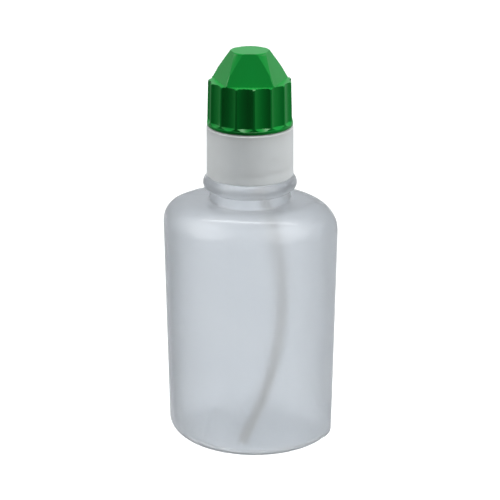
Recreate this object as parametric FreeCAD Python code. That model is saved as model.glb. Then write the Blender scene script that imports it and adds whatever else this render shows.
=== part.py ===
import FreeCAD, Part
import math
import os

os.makedirs("parts", exist_ok=True)

# Squeeze dropper bottle with a dip tube, a threaded nozzle closure and a screw cap.
# Millimetres. Z is up and the bottle rests on Z = 0, with its neck on the Z axis.
# X runs along the wide way of the oval, Y along the narrow way.

Vector = FreeCAD.Vector
up = Vector(0, 0, 1)
origin = Vector(0, 0, 0)

# Oval body, blow moulded with an even wall; its outline is four arcs that meet smoothly
body_half_width = 27.3
body_half_depth = 21.8
oval_end_radius = 5.0
body_wall = 1.0
base_wall = 1.3
wall_taper = 0.94
wall_height = 69.8
shoulder_radius = 8.6
heel_radius = 3.3
rest_ring_width = 1.4
push_up = 1.5
push_up_slope = 8.0

# Round neck, bead and threaded finish
neck_radius = 12.4
neck_wall = 1.3
neck_height = 3.1
neck_root_radius = 0.6
neck_bore_blend = 1.6
bead_height = 4.4
bead_overhang = 1.04
bead_top_inset = 0.25
finish_height = 13.2
finish_root_radius = 10.85
finish_wall = 1.45
lip_edge = 0.5

# Screw threads: the closure on the bottle, and the cap on the closure
bottle_pitch = 3.18
bottle_thread_depth = 1.05
bottle_thread_turns = 1.5
bottle_thread_start = 2.7
cap_pitch = 3.0
cap_thread_depth = 0.8
cap_thread_turns = 1.1
cap_thread_start = 2.9
thread_foot = 1.2
thread_crest = 0.5
thread_clearance = 0.25
thread_root_sink = 0.15

# Gasket between the lip and the closure's deck
gasket_thickness = 0.9
gasket_width = 1.7
gasket_side_clearance = 0.45
seat_clearance = 0.02

# Nozzle closure: skirt, deck, threaded boss and conical spout in one moulding
closure_gap = 0.2
skirt_wall = 1.1
skirt_draft = 0.13
skirt_edge = 0.35
deck_thickness = 1.5
boss_root_radius = 9.8
boss_height = 8.8
boss_edge = 0.6
spout_foot_radius = 8.4
spout_top_radius = 3.1
spout_height = 10.0
spout_wall = 1.2
stem_engagement = 2.0
stem_top_gap = 0.3

# Tube holder, pressed up into the closure until its flange meets a step
holder_flange_radius = 8.45
holder_flange = 2.0
holder_step = 0.7
holder_seat_height = 2.4
stem_wall = 1.06
stem_length = 9.4
stem_bore_radius = 1.0
holder_edge = 0.4
socket_depth = 10.3
press_clearance = 0.04

# Dropper tip, a small insert in the mouth of the spout
tip_plug_radius = 1.8
tip_plug_length = 3.4
tip_collar_radius = 2.6
tip_collar = 0.7
tip_nozzle_radius = 1.6
tip_nozzle_height = 1.1
tip_orifice_radius = 0.5
tip_edge = 0.3

# Dip tube, cut from coiled stock, so it keeps a bow
tube_radius = 1.6
tube_bore_radius = 1.0
tube_lean = 26.3
tube_lean_azimuth = -8.3
tube_bend_radius = 16.0
tube_wall_gap = 2.0
tube_foot_azimuth = -87.0
tube_foot_clearance = 0.9
tube_end_gap = 0.1

# Screw cap: plain ring, fluted skirt, ledge and five-sided cone
cap_gap = 0.2
cap_wall = 1.2
cap_top_wall = 1.2
cap_ring_radius = 13.0
cap_ring_height = 1.0
cap_ring_edge = 0.25
cap_ring_step = 0.1
cap_skirt_height = 13.7
cap_skirt_draft = 0.35
cap_ledge_edge = 0.3
cap_bore_height = 10.2
cap_mouth_edge = 0.3
flute_count = 15
flute_depth = 0.8
flute_radius = 5.4
flute_azimuth = -72.8
facet_count = 5
facet_foot_inset = 2.8
facet_slope = 0.469
facet_azimuth = -78.2
facet_edge_radius = 0.6
cone_corner_inset = 0.75
cone_corner_rise = 0.8
cap_disc_inset = 0.05
cap_rim_radius = 0.9

# Cap liner, a seal disc that the cap presses on the dropper tip
liner_thickness = 1.0
liner_radius = 4.1
liner_clearance = 0.05

# Construction: how far a cutter runs past a face, how closely the bottle's faces join,
# and how finely the oval is drawn
past = 1.0
join_tolerance = 0.0001
oval_points = 48
heel_steps = 5
shoulder_steps = 8

# Levels, from the resting plane up
neck_foot_z = wall_height + shoulder_radius
bead_foot_z = neck_foot_z + neck_height
bead_top_z = bead_foot_z + bead_height
lip_z = bead_top_z + finish_height
gasket_foot_z = lip_z + seat_clearance
gasket_top_z = gasket_foot_z + gasket_thickness
deck_foot_z = gasket_top_z + seat_clearance
deck_top_z = deck_foot_z + deck_thickness
boss_top_z = deck_top_z + boss_height
spout_top_z = boss_top_z + spout_height
holder_top_z = deck_top_z + holder_seat_height
holder_foot_z = holder_top_z - holder_flange
socket_mouth_z = holder_foot_z - stem_length
tip_foot_z = spout_top_z - tip_plug_length
tip_bore_foot_z = tip_foot_z - press_clearance
spout_roof_z = tip_bore_foot_z - stem_engagement
stem_top_z = tip_bore_foot_z - stem_top_gap
tip_top_z = spout_top_z + tip_collar + tip_nozzle_height
liner_foot_z = tip_top_z + liner_clearance
liner_top_z = liner_foot_z + liner_thickness
cap_roof_z = liner_top_z + liner_clearance
cap_top_z = cap_roof_z + cap_top_wall
cap_foot_z = deck_top_z + cap_gap
cap_ledge_z = cap_foot_z + cap_skirt_height

# Radii that follow from what they fit
finish_crest_radius = finish_root_radius + bottle_thread_depth
skirt_bore_radius = finish_crest_radius + thread_clearance
skirt_foot_radius = skirt_bore_radius + skirt_wall
skirt_top_radius = skirt_foot_radius - skirt_draft
bead_radius = skirt_foot_radius + bead_overhang
bead_top_radius = skirt_foot_radius - bead_top_inset
finish_bore_radius = finish_root_radius - finish_wall
boss_crest_radius = boss_root_radius + cap_thread_depth
cap_bore_radius = boss_crest_radius + thread_clearance
holder_bore_radius = holder_flange_radius + press_clearance
tip_bore_radius = tip_plug_radius + press_clearance
socket_radius = tube_radius + press_clearance
stem_radius = socket_radius + stem_wall
stem_bore_in_spout = stem_radius + press_clearance
tube_foot_radius = body_half_depth - wall_taper - body_wall - tube_radius - tube_wall_gap
oval_end_centre = body_half_width - oval_end_radius
oval_side_radius = (oval_end_centre ** 2 + body_half_depth ** 2 - oval_end_radius ** 2) / (
    2 * (body_half_depth - oval_end_radius))
oval_side_centre = body_half_depth - oval_side_radius
cap_skirt_radius = cap_ring_radius - cap_ring_step
cap_ledge_radius = cap_skirt_radius - cap_skirt_draft
facet_foot = cap_ledge_radius - facet_foot_inset
facet_top = facet_foot - facet_slope * (cap_top_z - cap_ledge_z)
cap_disc_radius = facet_top - cap_disc_inset


def point(r, z):
    return Vector(r, 0, z)


def line(a, b):
    return Part.makeLine(a, b)


def arc(a, middle, b):
    return Part.Arc(a, middle, b).toShape()


def revolve(edges):
    face = Part.Face(Part.Wire(edges))
    return face.revolve(origin, up, 360)


def revolvePoints(profile):
    corners = [point(r, z) for r, z in profile]
    corners.append(corners[0])
    face = Part.Face(Part.makePolygon(corners))
    return face.revolve(origin, up, 360)


def direction(azimuth):
    angle = math.radians(azimuth)
    return Vector(math.cos(angle), math.sin(angle), 0)


def ovalRadius(azimuth):
    # How far the outline is from the Z axis: on an end arc near X, on a side arc near Y
    across = abs(direction(azimuth).x)
    along = abs(direction(azimuth).y)
    join = Vector(oval_end_centre, -oval_side_centre, 0).normalize() * oval_side_radius
    join_y = join.y + oval_side_centre
    if along * join.x < across * join_y:
        centre = Vector(oval_end_centre, 0, 0)
        radius = oval_end_radius
    else:
        centre = Vector(0, oval_side_centre, 0)
        radius = oval_side_radius
    reach = across * centre.x + along * centre.y
    return reach + math.sqrt(radius ** 2 - centre.Length ** 2 + reach ** 2)


def ovalWire(inset, z):
    # The outline drawn in by the inset all round, as four quarters
    points = []
    for n in range(oval_points):
        azimuth = n * 360 / oval_points
        points.append(direction(azimuth) * (ovalRadius(azimuth) - inset) + Vector(0, 0, z))
    curve = Part.BSplineCurve()
    curve.interpolate(Points=points, PeriodicFlag=True)
    first = curve.FirstParameter
    quarter = (curve.LastParameter - first) / 4
    return Part.Wire([curve.toShape(first + n * quarter, first + (n + 1) * quarter) for n in range(4)])


def ovalSkin(inset, floor_z):
    # One surface of the body, open where the shoulder's flat top meets the neck:
    # base ring and push-up, round the heel, up the tapered wall and over the shoulder
    heel = heel_radius - inset
    shoulder = shoulder_radius - inset
    foot = ovalWire(inset + wall_taper + heel, floor_z)
    ring_inner = ovalWire(inset + wall_taper + heel + rest_ring_width, floor_z)
    middle = ovalWire(inset + wall_taper + heel + rest_ring_width + push_up_slope, floor_z + push_up)
    heel_wires = [foot]
    for n in range(heel_steps):
        turn = math.radians(90 * (n + 1) / heel_steps)
        step_in = wall_taper + heel * (1 - math.sin(turn))
        heel_wires.append(ovalWire(inset + step_in, floor_z + heel * (1 - math.cos(turn))))
    shoulder_wires = [ovalWire(inset, wall_height)]
    for n in range(shoulder_steps):
        turn = math.radians(90 * (n + 1) / shoulder_steps)
        step_in = shoulder * (1 - math.cos(turn))
        shoulder_wires.append(ovalWire(inset + step_in, wall_height + shoulder * math.sin(turn)))
    faces = [Part.Face([foot, ring_inner]), Part.Face(middle)]
    faces += Part.makeLoft([ring_inner, middle], False, True).Faces
    faces += Part.makeLoft(heel_wires, False).Faces
    faces += Part.makeLoft([heel_wires[-1], shoulder_wires[0]], False, True).Faces
    faces += Part.makeLoft(shoulder_wires, False).Faces
    return faces, shoulder_wires[-1]


def threadRidge(foot_r, crest_r, pitch, turns, start_z, phase):
    # A ridge of trapezoid section on a helix; foot_r may be inside or outside crest_r
    helix = Part.makeHelix(pitch, pitch * turns, foot_r)
    half_foot = thread_foot / 2
    half_crest = thread_crest / 2
    corners = [
        Vector(foot_r, 0, -half_foot),
        Vector(crest_r, 0, -half_crest),
        Vector(crest_r, 0, half_crest),
        Vector(foot_r, 0, half_foot),
    ]
    corners.append(corners[0])
    ridge = Part.Wire(helix).makePipeShell([Part.makePolygon(corners)], True, True)
    ridge.rotate(origin, up, phase)
    ridge.translate(Vector(0, 0, start_z))
    return ridge


def neckSkin():
    # Up the outside of the neck, over the bead, the finish and the lip, and down the bore
    waist_z = bead_foot_z + bead_height / 2
    neck_bore = neck_radius - neck_wall
    root_r = neck_radius + neck_root_radius
    root_slope = neck_root_radius * (1 - math.sqrt(0.5))
    root_middle = point(neck_radius + root_slope, neck_foot_z + root_slope)
    bead_middle = point(bead_radius, bead_foot_z + bead_height * 0.45)
    edges = [
        arc(point(root_r, neck_foot_z), root_middle, point(neck_radius, neck_foot_z + neck_root_radius)),
        line(point(neck_radius, neck_foot_z + neck_root_radius), point(neck_radius, bead_foot_z)),
        arc(point(neck_radius, bead_foot_z), bead_middle, point(bead_top_radius, bead_top_z)),
    ]
    rest = [
        point(bead_top_radius, bead_top_z),
        point(finish_root_radius, bead_top_z),
        point(finish_root_radius, lip_z - lip_edge),
        point(finish_root_radius - lip_edge, lip_z),
        point(finish_bore_radius, lip_z),
        point(finish_bore_radius, waist_z + neck_bore_blend / 2),
        point(neck_bore, waist_z - neck_bore_blend / 2),
        point(neck_bore, neck_foot_z - body_wall),
    ]
    edges += Part.makePolygon(rest).Edges
    return Part.Wire(edges).revolve(origin, up, 360).Faces


def circleWire(radius, z):
    return Part.Wire(Part.makeCircle(radius, Vector(0, 0, z)))


def bottle():
    outside, outer_rim = ovalSkin(0, 0)
    inside, inner_rim = ovalSkin(body_wall, base_wall)
    neck_root = circleWire(neck_radius + neck_root_radius, neck_foot_z)
    bore_foot = circleWire(neck_radius - neck_wall, neck_foot_z - body_wall)
    faces = outside + inside + neckSkin()
    faces.append(Part.Face([outer_rim, neck_root]))
    faces.append(Part.Face([inner_rim, bore_foot]))
    skin = Part.Compound(faces)
    skin.sewShape()
    solid = Part.Solid(skin.Shells[0])
    solid.fix(join_tolerance, join_tolerance, join_tolerance)
    ridge = threadRidge(finish_root_radius - thread_root_sink, finish_crest_radius, bottle_pitch,
                        bottle_thread_turns, bead_top_z + bottle_thread_start, 0)
    return solid.fuse(ridge)


def nozzle_closure():
    skirt_foot_z = bead_top_z + closure_gap
    body = revolvePoints([
        (0, skirt_foot_z),
        (skirt_foot_radius - skirt_edge, skirt_foot_z),
        (skirt_foot_radius, skirt_foot_z + skirt_edge),
        (skirt_top_radius, deck_top_z - skirt_edge),
        (skirt_top_radius - skirt_edge, deck_top_z),
        (boss_root_radius, deck_top_z),
        (boss_root_radius, boss_top_z - boss_edge),
        (boss_root_radius - boss_edge, boss_top_z),
        (spout_foot_radius, boss_top_z),
        (spout_top_radius, spout_top_z),
        (0, spout_top_z),
    ])
    step_radius = holder_bore_radius - holder_step
    inner_foot_radius = spout_foot_radius - spout_wall
    slope = (spout_foot_radius - spout_top_radius) / spout_height
    inner_roof_radius = inner_foot_radius - slope * (spout_roof_z - boss_top_z)
    hollow = revolvePoints([
        (0, skirt_foot_z - past),
        (skirt_bore_radius, skirt_foot_z - past),
        (skirt_bore_radius, deck_foot_z),
        (holder_bore_radius, deck_foot_z),
        (holder_bore_radius, holder_top_z),
        (step_radius, holder_top_z),
        (step_radius, boss_top_z - spout_wall),
        (inner_foot_radius, boss_top_z),
        (inner_roof_radius, spout_roof_z),
        (stem_bore_in_spout, spout_roof_z),
        (stem_bore_in_spout, tip_bore_foot_z),
        (tip_bore_radius, tip_bore_foot_z),
        (tip_bore_radius, spout_top_z + past),
        (0, spout_top_z + past),
    ])
    outer_ridge = threadRidge(boss_root_radius - thread_root_sink, boss_crest_radius, cap_pitch,
                              cap_thread_turns, deck_top_z + cap_thread_start, 0)
    inner_ridge = threadRidge(skirt_bore_radius + thread_root_sink, finish_root_radius + thread_clearance,
                              bottle_pitch, bottle_thread_turns,
                              bead_top_z + bottle_thread_start - bottle_pitch / 2, 0)
    shell = body.cut(hollow)
    shell = shell.fuse(outer_ridge)
    return shell.fuse(inner_ridge)


def closure_gasket():
    outer_radius = skirt_bore_radius - gasket_side_clearance
    ring = Part.makeCylinder(outer_radius, gasket_thickness, Vector(0, 0, gasket_foot_z))
    hole = Part.makeCylinder(outer_radius - gasket_width, gasket_thickness + 2 * past,
                             Vector(0, 0, gasket_foot_z - past))
    return ring.cut(hole)


def tube_holder():
    body = revolvePoints([
        (0, socket_mouth_z),
        (stem_radius - holder_edge, socket_mouth_z),
        (stem_radius, socket_mouth_z + holder_edge),
        (stem_radius, holder_foot_z),
        (holder_flange_radius - holder_edge, holder_foot_z),
        (holder_flange_radius, holder_foot_z + holder_edge),
        (holder_flange_radius, holder_top_z),
        (stem_radius, holder_top_z),
        (stem_radius, stem_top_z),
        (0, stem_top_z),
    ])
    socket_top_z = socket_mouth_z + socket_depth
    bore = revolvePoints([
        (0, socket_mouth_z - past),
        (socket_radius, socket_mouth_z - past),
        (socket_radius, socket_top_z),
        (stem_bore_radius, socket_top_z),
        (stem_bore_radius, stem_top_z + past),
        (0, stem_top_z + past),
    ])
    return body.cut(bore)


def dropper_tip():
    body = revolvePoints([
        (0, tip_foot_z),
        (tip_plug_radius - tip_edge, tip_foot_z),
        (tip_plug_radius, tip_foot_z + tip_edge),
        (tip_plug_radius, spout_top_z),
        (tip_collar_radius, spout_top_z),
        (tip_collar_radius, spout_top_z + tip_collar),
        (tip_nozzle_radius, spout_top_z + tip_collar),
        (tip_nozzle_radius - tip_edge, tip_top_z),
        (0, tip_top_z),
    ])
    bore = revolvePoints([
        (0, tip_foot_z - past),
        (stem_bore_radius, tip_foot_z - past),
        (stem_bore_radius, spout_top_z),
        (tip_orifice_radius, spout_top_z + tip_collar),
        (tip_orifice_radius, tip_top_z + past),
        (0, tip_top_z + past),
    ])
    return body.cut(bore)


def tubePath():
    # Straight in the socket, a short bend at its mouth, then one long bow to the foot
    top = Vector(0, 0, socket_mouth_z + socket_depth - tube_end_gap)
    mouth = Vector(0, 0, socket_mouth_z)
    down = Vector(0, 0, -1)
    side = direction(tube_lean_azimuth)
    lean = math.radians(tube_lean)

    def bendPoint(angle):
        return mouth + (down * math.sin(angle) + side * (1 - math.cos(angle))) * tube_bend_radius

    bend_end = bendPoint(lean)
    heading = down * math.cos(lean) + side * math.sin(lean)
    foot_z = base_wall + push_up + tube_foot_clearance
    foot = direction(tube_foot_azimuth) * tube_foot_radius + Vector(0, 0, foot_z)
    chord = foot - bend_end
    length = chord.Length
    chord.normalize()
    turn = math.acos(heading.dot(chord))
    inward = chord - heading * math.cos(turn)
    inward.normalize()
    bow_radius = length / (2 * math.sin(turn))
    middle = bend_end + (heading * math.sin(turn) + inward * (1 - math.cos(turn))) * bow_radius
    edges = [
        line(top, mouth),
        arc(mouth, bendPoint(lean / 2), bend_end),
        arc(bend_end, middle, foot),
    ]
    return Part.Wire(edges)


def dip_tube():
    path = tubePath()
    start = path.Edges[0].Vertexes[0].Point

    def pipe(radius):
        ring = Part.Wire(Part.makeCircle(radius, start, Vector(0, 0, -1)))
        return path.makePipeShell([ring], True, True)

    return pipe(tube_radius).cut(pipe(tube_bore_radius))


def facetedCone():
    wires = []
    for apothem, z in ((facet_foot + facet_slope * past, cap_ledge_z - past), (facet_top, cap_top_z)):
        corner = apothem / math.cos(math.pi / facet_count)
        points = []
        for n in range(facet_count + 1):
            azimuth = facet_azimuth + (n + 0.5) * 360 / facet_count
            points.append(direction(azimuth) * corner + Vector(0, 0, z))
        wires.append(Part.makePolygon(points))
    cone = Part.makeLoft(wires, True, True)
    slanted = [edge for edge in cone.Edges if abs(edge.Vertexes[0].Z - edge.Vertexes[1].Z) > 1]
    cone = cone.makeFillet(facet_edge_radius, slanted)
    rim_r = cap_disc_radius + cap_rim_radius * 0.8
    rim_mid_r = cap_disc_radius + cap_rim_radius * 0.48
    rim_mid_z = cap_top_z - cap_rim_radius * 0.12
    rim_z = cap_top_z - cap_rim_radius * 0.55
    wide_r = cap_ledge_radius - cone_corner_inset
    wide_z = cap_ledge_z + cone_corner_rise
    trim = revolve([
        line(point(0, cap_top_z), point(cap_disc_radius, cap_top_z)),
        arc(point(cap_disc_radius, cap_top_z), point(rim_mid_r, rim_mid_z), point(rim_r, rim_z)),
        line(point(rim_r, rim_z), point(wide_r, wide_z)),
        line(point(wide_r, wide_z), point(wide_r, cap_ledge_z - past)),
        line(point(wide_r, cap_ledge_z - past), point(0, cap_ledge_z - past)),
        line(point(0, cap_ledge_z - past), point(0, cap_top_z)),
    ])
    return cone.common(trim)


def flute():
    # A concave cut that follows the skirt's draft and runs out in a slope above the ring
    ramp = flute_depth + cap_ring_step
    cone = Part.makeCone(flute_radius - ramp, flute_radius, ramp)
    barrel = Part.makeCylinder(flute_radius, cap_skirt_height + past, Vector(0, 0, ramp))
    cutter = cone.fuse(barrel)
    draft = math.degrees(math.atan(cap_skirt_draft / (cap_skirt_height - cap_ring_height)))
    cutter.rotate(origin, Vector(0, 1, 0), -draft)
    reach = cap_skirt_radius - flute_depth + flute_radius
    cutter.translate(Vector(reach, 0, cap_foot_z + cap_ring_height))
    return cutter


def cap():
    ring_top_z = cap_foot_z + cap_ring_height
    skirt = revolvePoints([
        (0, cap_foot_z),
        (cap_ring_radius - cap_ring_edge, cap_foot_z),
        (cap_ring_radius, cap_foot_z + cap_ring_edge),
        (cap_ring_radius, ring_top_z - cap_ring_step),
        (cap_skirt_radius, ring_top_z),
        (cap_ledge_radius, cap_ledge_z - cap_ledge_edge),
        (cap_ledge_radius - cap_ledge_edge, cap_ledge_z),
        (0, cap_ledge_z),
    ])
    for n in range(flute_count):
        cutter = flute()
        cutter.rotate(origin, up, flute_azimuth + (n + 0.5) * 360 / flute_count)
        skirt = skirt.cut(cutter)
    outside = skirt.fuse(facetedCone())
    bore_top_z = cap_foot_z + cap_bore_height
    roof_apothem = facet_foot - facet_slope * (cap_roof_z - cap_ledge_z)
    hollow = revolvePoints([
        (0, cap_foot_z - past),
        (cap_bore_radius + cap_mouth_edge, cap_foot_z - past),
        (cap_bore_radius + cap_mouth_edge, cap_foot_z),
        (cap_bore_radius, cap_foot_z + cap_mouth_edge),
        (cap_bore_radius, bore_top_z),
        (facet_foot - cap_wall, cap_ledge_z),
        (roof_apothem - cap_wall, cap_roof_z),
        (0, cap_roof_z),
    ])
    ridge = threadRidge(cap_bore_radius + thread_root_sink, boss_root_radius + thread_clearance, cap_pitch,
                        cap_thread_turns, deck_top_z + cap_thread_start - cap_pitch / 2, 0)
    shell = outside.cut(hollow)
    return shell.fuse(ridge)


def cap_liner():
    return Part.makeCylinder(liner_radius, liner_thickness, Vector(0, 0, liner_foot_z))


nodes = {
    "bottle": bottle,
    "nozzle_closure": nozzle_closure,
    "closure_gasket": closure_gasket,
    "tube_holder": tube_holder,
    "dropper_tip": dropper_tip,
    "dip_tube": dip_tube,
    "cap": cap,
    "cap_liner": cap_liner,
}
for name, make in nodes.items():
    shape = make()
    if shape.ShapeType == "Compound" and len(shape.Solids) == 1:
        shape = shape.Solids[0]
    box = shape.BoundBox
    print(name, "solids", len(shape.Solids), "valid", shape.isValid(), "volume", round(shape.Volume, 1),
          "z", round(box.ZMin, 2), round(box.ZMax, 2), "x", round(box.XMin, 2), round(box.XMax, 2))
    shape.exportStep("parts/" + name + ".step")
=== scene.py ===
import math

import bpy
import numpy as np
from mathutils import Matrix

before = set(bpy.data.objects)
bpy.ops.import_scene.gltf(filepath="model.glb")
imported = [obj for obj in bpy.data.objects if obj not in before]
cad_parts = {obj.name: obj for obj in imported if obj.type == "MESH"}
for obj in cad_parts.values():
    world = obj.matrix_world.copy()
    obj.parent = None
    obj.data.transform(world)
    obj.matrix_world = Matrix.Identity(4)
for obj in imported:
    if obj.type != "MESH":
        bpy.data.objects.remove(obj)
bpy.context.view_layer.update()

print("frame loaded:", sorted(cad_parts))


def linearColour(hexCode):
    # sRGB hex to linear RGBA: below 0.04045 divide by 12.92, above it raise to the power 2.4
    channels = []
    for start in (0, 2, 4):
        value = int(hexCode[start:start + 2], 16) / 255
        channels.append(value / 12.92 if value <= 0.04045 else ((value + 0.055) / 1.055) ** 2.4)
    return (*channels, 1.0)


def addNode(tree, kind, values=None, links=None, **settings):
    # one shader node: settings are its properties, values its own sockets, links come from other nodes
    node = tree.nodes.new(kind)
    for name, value in settings.items():
        setattr(node, name, value)
    for name, value in (values or {}).items():
        node.inputs[name].default_value = value
    for name, source in (links or {}).items():
        tree.links.new(source, node.inputs[name])
    return node


def newMaterial(name):
    material = bpy.data.materials.new(name)
    material.use_nodes = True
    material.node_tree.nodes.clear()
    return material, material.node_tree


def perMetre(millimetres):
    # a texture scale whose features are this many millimetres across
    return 1000 / millimetres


def metres(millimetres):
    return millimetres / 1000


def noise(tree, place, sizeMm, detail):
    return addNode(tree, "ShaderNodeTexNoise", {"Scale": perMetre(sizeMm), "Detail": detail},
                   {"Vector": place})


def mixColour(tree, mask, first, second):
    # of a colour mix's sockets, 0 is the factor and 6 and 7 are the two colours
    colour = addNode(tree, "ShaderNodeMix", links={0: mask}, data_type="RGBA")
    colour.inputs[6].default_value = linearColour(first)
    colour.inputs[7].default_value = linearColour(second)
    return colour.outputs[2]


def spreadRoughness(tree, mask, lowest, highest):
    rough = addNode(tree, "ShaderNodeMapRange", {"To Min": lowest, "To Max": highest}, {"Value": mask})
    return rough.outputs[0]


def bumpOf(tree, height, depthMm, under=None):
    # a bump of real depth, laid over another bump's normal where there is one
    links = {"Height": height}
    if under is not None:
        links["Normal"] = under
    bump = addNode(tree, "ShaderNodeBump", {"Strength": 1.0, "Distance": metres(depthMm)}, links)
    return bump.outputs[0]


def plasticShader(tree, fixed, colour, roughness, normal):
    shader = addNode(tree, "ShaderNodeBsdfPrincipled", {
        "IOR": fixed["ior"],
        "Specular IOR Level": fixed["specular"],
        "Transmission Weight": fixed["transmission"],
        "Coat Weight": fixed["coat"],
        "Coat Roughness": fixed["coatRoughness"],
    }, {"Base Color": colour, "Roughness": roughness, "Normal": normal})
    addNode(tree, "ShaderNodeOutputMaterial", links={"Surface": shader.outputs[0]})


camera = {
    "azimuth": 11.8,      # degrees round to the right of the bottle's wide face
    "elevation": 19.9,
    "distance": 0.493,    # metres from the target
    "target": (0.0, 0.0, 0.0614),
    "lens": 114.5,
    "sensorWidth": 36,
    "clipStart": 0.01,
    "clipEnd": 20,
}


def placeCamera():
    # on a sphere about the target: azimuth turns it from -Y towards +X, elevation lifts it
    a = math.radians(camera["azimuth"])
    e = math.radians(camera["elevation"])
    direction = np.array([math.sin(a) * math.cos(e), -math.cos(a) * math.cos(e), math.sin(e)])
    data = bpy.data.cameras.new("camera")
    data.lens = camera["lens"]
    data.sensor_width = camera["sensorWidth"]
    data.clip_start = camera["clipStart"]
    data.clip_end = camera["clipEnd"]
    view = bpy.data.objects.new("camera", data)
    bpy.context.scene.collection.objects.link(view)
    view.location = np.array(camera["target"]) + camera["distance"] * direction
    view.rotation_euler = (math.pi / 2 - e, 0, a)
    bpy.context.scene.camera = view


placeCamera()
print("camera placed")

# Natural low-density polyethylene, extrusion blow moulded: milky and see-through at once, with a
# waxy gloss, wall thickness that drifts, a faint orange peel and the mould's fine grain
bottleLdpe = {
    "thinColour": "EDF0F3",
    "thickColour": "E6EAEE",
    "transmission": 0.88,
    "roughness": 0.36,
    "roughnessDrift": 0.04,
    "ior": 1.51,
    "specular": 0.3,
    "coat": 0.6,
    "coatRoughness": 0.1,
    "cloudMm": 16,
    "cloudDetail": 3.0,
    "peelMm": 2.6,
    "peelDetail": 2.0,
    "peelDepthMm": 0.02,
    "grainMm": 0.45,
    "grainDetail": 1.0,
    "grainDepthMm": 0.004,
    "seamWidthMm": 0.35,   # the parting line of the two mould halves, on the oval's ends
    "seamDepthMm": 0.05,
}


def naturalLdpe():
    fixed = bottleLdpe
    material, tree = newMaterial("natural LDPE, blow moulded")
    place = addNode(tree, "ShaderNodeTexCoord").outputs["Object"]
    cloud = noise(tree, place, fixed["cloudMm"], fixed["cloudDetail"]).outputs[0]
    peel = noise(tree, place, fixed["peelMm"], fixed["peelDetail"]).outputs[0]
    grain = noise(tree, place, fixed["grainMm"], fixed["grainDetail"]).outputs[0]
    # the parting line is where the mould halves meet, at Y = 0
    axes = addNode(tree, "ShaderNodeSeparateXYZ", links={"Vector": place})
    fromSeam = addNode(tree, "ShaderNodeMath", links={0: axes.outputs["Y"]}, operation="ABSOLUTE")
    seam = addNode(tree, "ShaderNodeMapRange",
                   {"From Min": 0.0, "From Max": metres(fixed["seamWidthMm"]),
                    "To Min": 1.0, "To Max": 0.0},
                   {"Value": fromSeam.outputs[0]}, interpolation_type="SMOOTHSTEP")
    peelBump = bumpOf(tree, peel, fixed["peelDepthMm"])
    grainBump = bumpOf(tree, grain, fixed["grainDepthMm"], peelBump)
    seamBump = bumpOf(tree, seam.outputs[0], fixed["seamDepthMm"], grainBump)
    colour = mixColour(tree, cloud, fixed["thinColour"], fixed["thickColour"])
    roughness = spreadRoughness(tree, cloud, fixed["roughness"] - fixed["roughnessDrift"],
                                fixed["roughness"] + fixed["roughnessDrift"])
    plasticShader(tree, fixed, colour, roughness, seamBump)
    return material


# Polypropylene and polyethylene, injection moulded: an even satin skin, slow flow marks that drift
# the colour and gloss a little, and the fine spark-eroded grain of the steel
mouldedDetail = {"flow": 3.0, "grain": 1.0}
closurePp = {
    "name": "natural polypropylene, injection moulded",
    "paleColour": "F0F2F2", "deepColour": "E6E9E9", "transmission": 0.5, "ior": 1.49,
    "roughness": 0.34, "roughnessDrift": 0.05, "coat": 0.2, "coatRoughness": 0.2, "specular": 0.5,
    "flowMm": 9, "grainMm": 0.4, "grainDepthMm": 0.006, "stretch": (1, 1, 0.35),
}
capPp = {
    "name": "green polypropylene, injection moulded",
    "paleColour": "059339", "deepColour": "03882D", "transmission": 0.0, "ior": 1.49,
    "roughness": 0.3, "roughnessDrift": 0.05, "coat": 0.0, "coatRoughness": 0.12, "specular": 0.3,
    "flowMm": 7, "grainMm": 0.35, "grainDepthMm": 0.005, "stretch": (1, 1, 0.35),
}
holderLdpe = {
    "name": "natural LDPE, injection moulded",
    "paleColour": "E6E9EB", "deepColour": "DCE0E3", "transmission": 0.3, "ior": 1.51,
    "roughness": 0.38, "roughnessDrift": 0.05, "coat": 0.15, "coatRoughness": 0.2, "specular": 0.5,
    "flowMm": 6, "grainMm": 0.35, "grainDepthMm": 0.005, "stretch": (1, 1, 0.5),
}
# Extruded tube: the die leaves long faint lines down it
tubeLdpe = {
    "name": "natural LDPE, extruded tube",
    "paleColour": "F4F2EF", "deepColour": "EAE8E4", "transmission": 0.45, "ior": 1.51,
    "roughness": 0.36, "roughnessDrift": 0.06, "coat": 0.1, "coatRoughness": 0.2, "specular": 0.5,
    "flowMm": 3, "grainMm": 0.5, "grainDepthMm": 0.01, "stretch": (1, 1, 0.06),
}


def mouldedPlastic(fixed):
    material, tree = newMaterial(fixed["name"])
    place = addNode(tree, "ShaderNodeTexCoord").outputs["Object"]
    along = addNode(tree, "ShaderNodeMapping", {"Scale": fixed["stretch"]}, {"Vector": place}).outputs[0]
    flow = noise(tree, along, fixed["flowMm"], mouldedDetail["flow"]).outputs[0]
    grain = noise(tree, along, fixed["grainMm"], mouldedDetail["grain"]).outputs[0]
    colour = mixColour(tree, flow, fixed["paleColour"], fixed["deepColour"])
    roughness = spreadRoughness(tree, flow, fixed["roughness"] - fixed["roughnessDrift"],
                                fixed["roughness"] + fixed["roughnessDrift"])
    plasticShader(tree, fixed, colour, roughness, bumpOf(tree, grain, fixed["grainDepthMm"]))
    return material


# Closed-cell polyethylene foam, skived sheet: matt, chalky, with tiny cut cells
foamSheet = {
    "skinColour": "F1F1EC",
    "cellColour": "DEDED6",
    "roughness": 0.85,
    "cutRoughness": 0.95,
    "ior": 1.5,
    "cellMm": 0.3,
    "cellDepthMm": 0.05,
}


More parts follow.
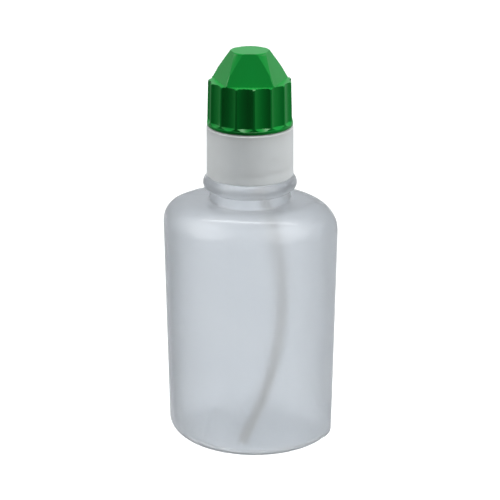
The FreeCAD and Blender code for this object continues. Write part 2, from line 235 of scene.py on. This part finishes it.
def cutFoam():
    fixed = foamSheet
    material, tree = newMaterial("closed-cell PE foam, cut sheet")
    place = addNode(tree, "ShaderNodeTexCoord").outputs["Object"]
    cells = addNode(tree, "ShaderNodeTexVoronoi", {"Scale": perMetre(fixed["cellMm"])},
                    {"Vector": place}).outputs[0]
    shader = addNode(tree, "ShaderNodeBsdfPrincipled", {"IOR": fixed["ior"]}, {
        "Base Color": mixColour(tree, cells, fixed["cellColour"], fixed["skinColour"]),
        "Roughness": spreadRoughness(tree, cells, fixed["roughness"], fixed["cutRoughness"]),
        "Normal": bumpOf(tree, cells, fixed["cellDepthMm"]),
    })
    addNode(tree, "ShaderNodeOutputMaterial", links={"Surface": shader.outputs[0]})
    return material


holderFinish = mouldedPlastic(holderLdpe)
foamFinish = cutFoam()
finishes = {
    "bottle": naturalLdpe(),
    "nozzle_closure": mouldedPlastic(closurePp),
    "closure_gasket": foamFinish,
    "tube_holder": holderFinish,
    "dropper_tip": holderFinish,
    "dip_tube": mouldedPlastic(tubeLdpe),
    "cap": mouldedPlastic(capPp),
    "cap_liner": foamFinish,
}
for name, finish in finishes.items():
    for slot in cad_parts[name].material_slots:
        slot.material = finish
print("materials on", len(finishes), "parts")

studio = {
    "floorColour": "F6F6F6",
    "floorRoughness": 0.8,
    "floorSide": 4.0,          # metres from the middle to each edge
    "washStrength": 3.4,       # lights the floor alone, without shadows, as a lit table does
    "skyColour": "F2F6FA",
    "skyFront": 0.06,          # towards -Y, which the wide face looks to
    "skyBack": 0.6,
    "skyBackRise": (0.3, 0.9),  # Y of the direction where the back begins to show, and where it is full
    "skyTop": 0.25,            # added overhead
    "skyTopRise": (0.2, 1.0),  # the same in Z
    "overheadStrength": 3.1,
    "overheadAngle": 9,        # degrees across
    "overheadFrom": (0.05, 0.0, 1.0),
    "scatterStrength": 1.0,    # light spread inside the milky walls, from both sides, without shadows
    "scatterAngle": 60,
    "scatterFrom": (0.8, -0.55, 0.5),
    "stripPower": 3.0,         # a long narrow softbox over the shoulder
    "stripLength": 1.6,
    "stripWidth": 0.06,
    "stripFrom": (0.0, -0.05, 0.95),
    "sidePower": 3.0,
    "sideSize": 0.45,
    "sideFrom": (0.75, 0.05, 0.35),
}


def layFloor():
    mesh = bpy.data.meshes.new("floor")
    side = studio["floorSide"]
    corners = [(-side, -side, 0), (side, -side, 0), (side, side, 0), (-side, side, 0)]
    mesh.from_pydata(corners, [], [(0, 1, 2, 3)])
    floor = bpy.data.objects.new("floor", mesh)
    bpy.context.scene.collection.objects.link(floor)
    material, tree = newMaterial("pale floor")
    shader = addNode(tree, "ShaderNodeBsdfPrincipled",
                     {"Base Color": linearColour(studio["floorColour"]),
                      "Roughness": studio["floorRoughness"]})
    addNode(tree, "ShaderNodeOutputMaterial", links={"Surface": shader.outputs[0]})
    mesh.materials.append(material)
    floor.visible_diffuse = False    # its bounce would flatten the cap's flutes and facets
    floor.visible_glossy = False
    return floor


def aim(light, position):
    # point the light's -Z at the bottle's middle: tilt from the vertical, then turn about Z
    away = np.array(position) - np.array(camera["target"])
    tilt = math.acos(away[2] / np.linalg.norm(away))
    turn = math.atan2(away[1], away[0])
    light.location = position
    light.rotation_euler = (0, tilt, turn)


def hangLight(name, kind, power, size, position, receivers):
    # size is degrees across for a sun, and the two sides in metres for a softbox
    data = bpy.data.lights.new(name, kind)
    data.energy = power
    if kind == "SUN":
        data.angle = math.radians(size)
    else:
        data.shape = "RECTANGLE"
        data.size, data.size_y = size
    light = bpy.data.objects.new(name, data)
    bpy.context.scene.collection.objects.link(light)
    aim(light, position)
    group = bpy.data.collections.new(name + " receivers")
    for thing in receivers:
        group.objects.link(thing)
    light.light_linking.receiver_collection = group
    return light


def skyRise(tree, axis, rise, low, high):
    # brightness that climbs smoothly from low to high as the axis goes through the rise
    start, full = rise
    step = addNode(tree, "ShaderNodeMapRange",
                   {"From Min": start, "From Max": full, "To Min": low, "To Max": high},
                   {"Value": axis}, interpolation_type="SMOOTHSTEP")
    return step.outputs[0]


def lightSky():
    world = bpy.data.worlds.new("studio")
    bpy.context.scene.world = world
    world.use_nodes = True
    tree = world.node_tree
    tree.nodes.clear()
    place = addNode(tree, "ShaderNodeTexCoord")
    axes = addNode(tree, "ShaderNodeSeparateXYZ", links={"Vector": place.outputs["Generated"]})
    behind = skyRise(tree, axes.outputs["Y"], studio["skyBackRise"], studio["skyFront"], studio["skyBack"])
    above = skyRise(tree, axes.outputs["Z"], studio["skyTopRise"], 0.0, studio["skyTop"])
    strength = addNode(tree, "ShaderNodeMath", links={0: behind, 1: above}, operation="ADD")
    sky = addNode(tree, "ShaderNodeBackground", {"Color": linearColour(studio["skyColour"])},
                  {"Strength": strength.outputs[0]})
    addNode(tree, "ShaderNodeOutputWorld", links={"Surface": sky.outputs[0]})


def lightBottle(floor):
    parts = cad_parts
    milkyNames = ("bottle", "nozzle_closure", "tube_holder", "dropper_tip", "dip_tube")
    milky = [parts[name] for name in milkyNames]
    screwed = [parts[name] for name in parts if name != "bottle"]
    wash = hangLight("floor wash", "SUN", studio["washStrength"], studio["overheadAngle"],
                     studio["overheadFrom"], [floor])
    wash.data.use_shadow = False
    hangLight("overhead", "SUN", studio["overheadStrength"], studio["overheadAngle"],
              studio["overheadFrom"], screwed)
    hangLight("overhead strip", "AREA", studio["stripPower"],
              (studio["stripWidth"], studio["stripLength"]), studio["stripFrom"], [parts["bottle"]])
    sideX, sideY, sideZ = studio["sideFrom"]
    scatterX, scatterY, scatterZ = studio["scatterFrom"]
    for side, sign in (("left", -1), ("right", 1)):
        hangLight(side + " softbox", "AREA", studio["sidePower"],
                  (studio["sideSize"], studio["sideSize"]), (sign * sideX, sideY, sideZ), screwed)
        scatter = hangLight(side + " scatter", "SUN", studio["scatterStrength"], studio["scatterAngle"],
                            (sign * scatterX, scatterY, scatterZ), milky)
        scatter.data.use_shadow = False


lightBottle(layFloor())
lightSky()
bpy.context.scene.view_settings.view_transform = "Standard"
print("studio set")
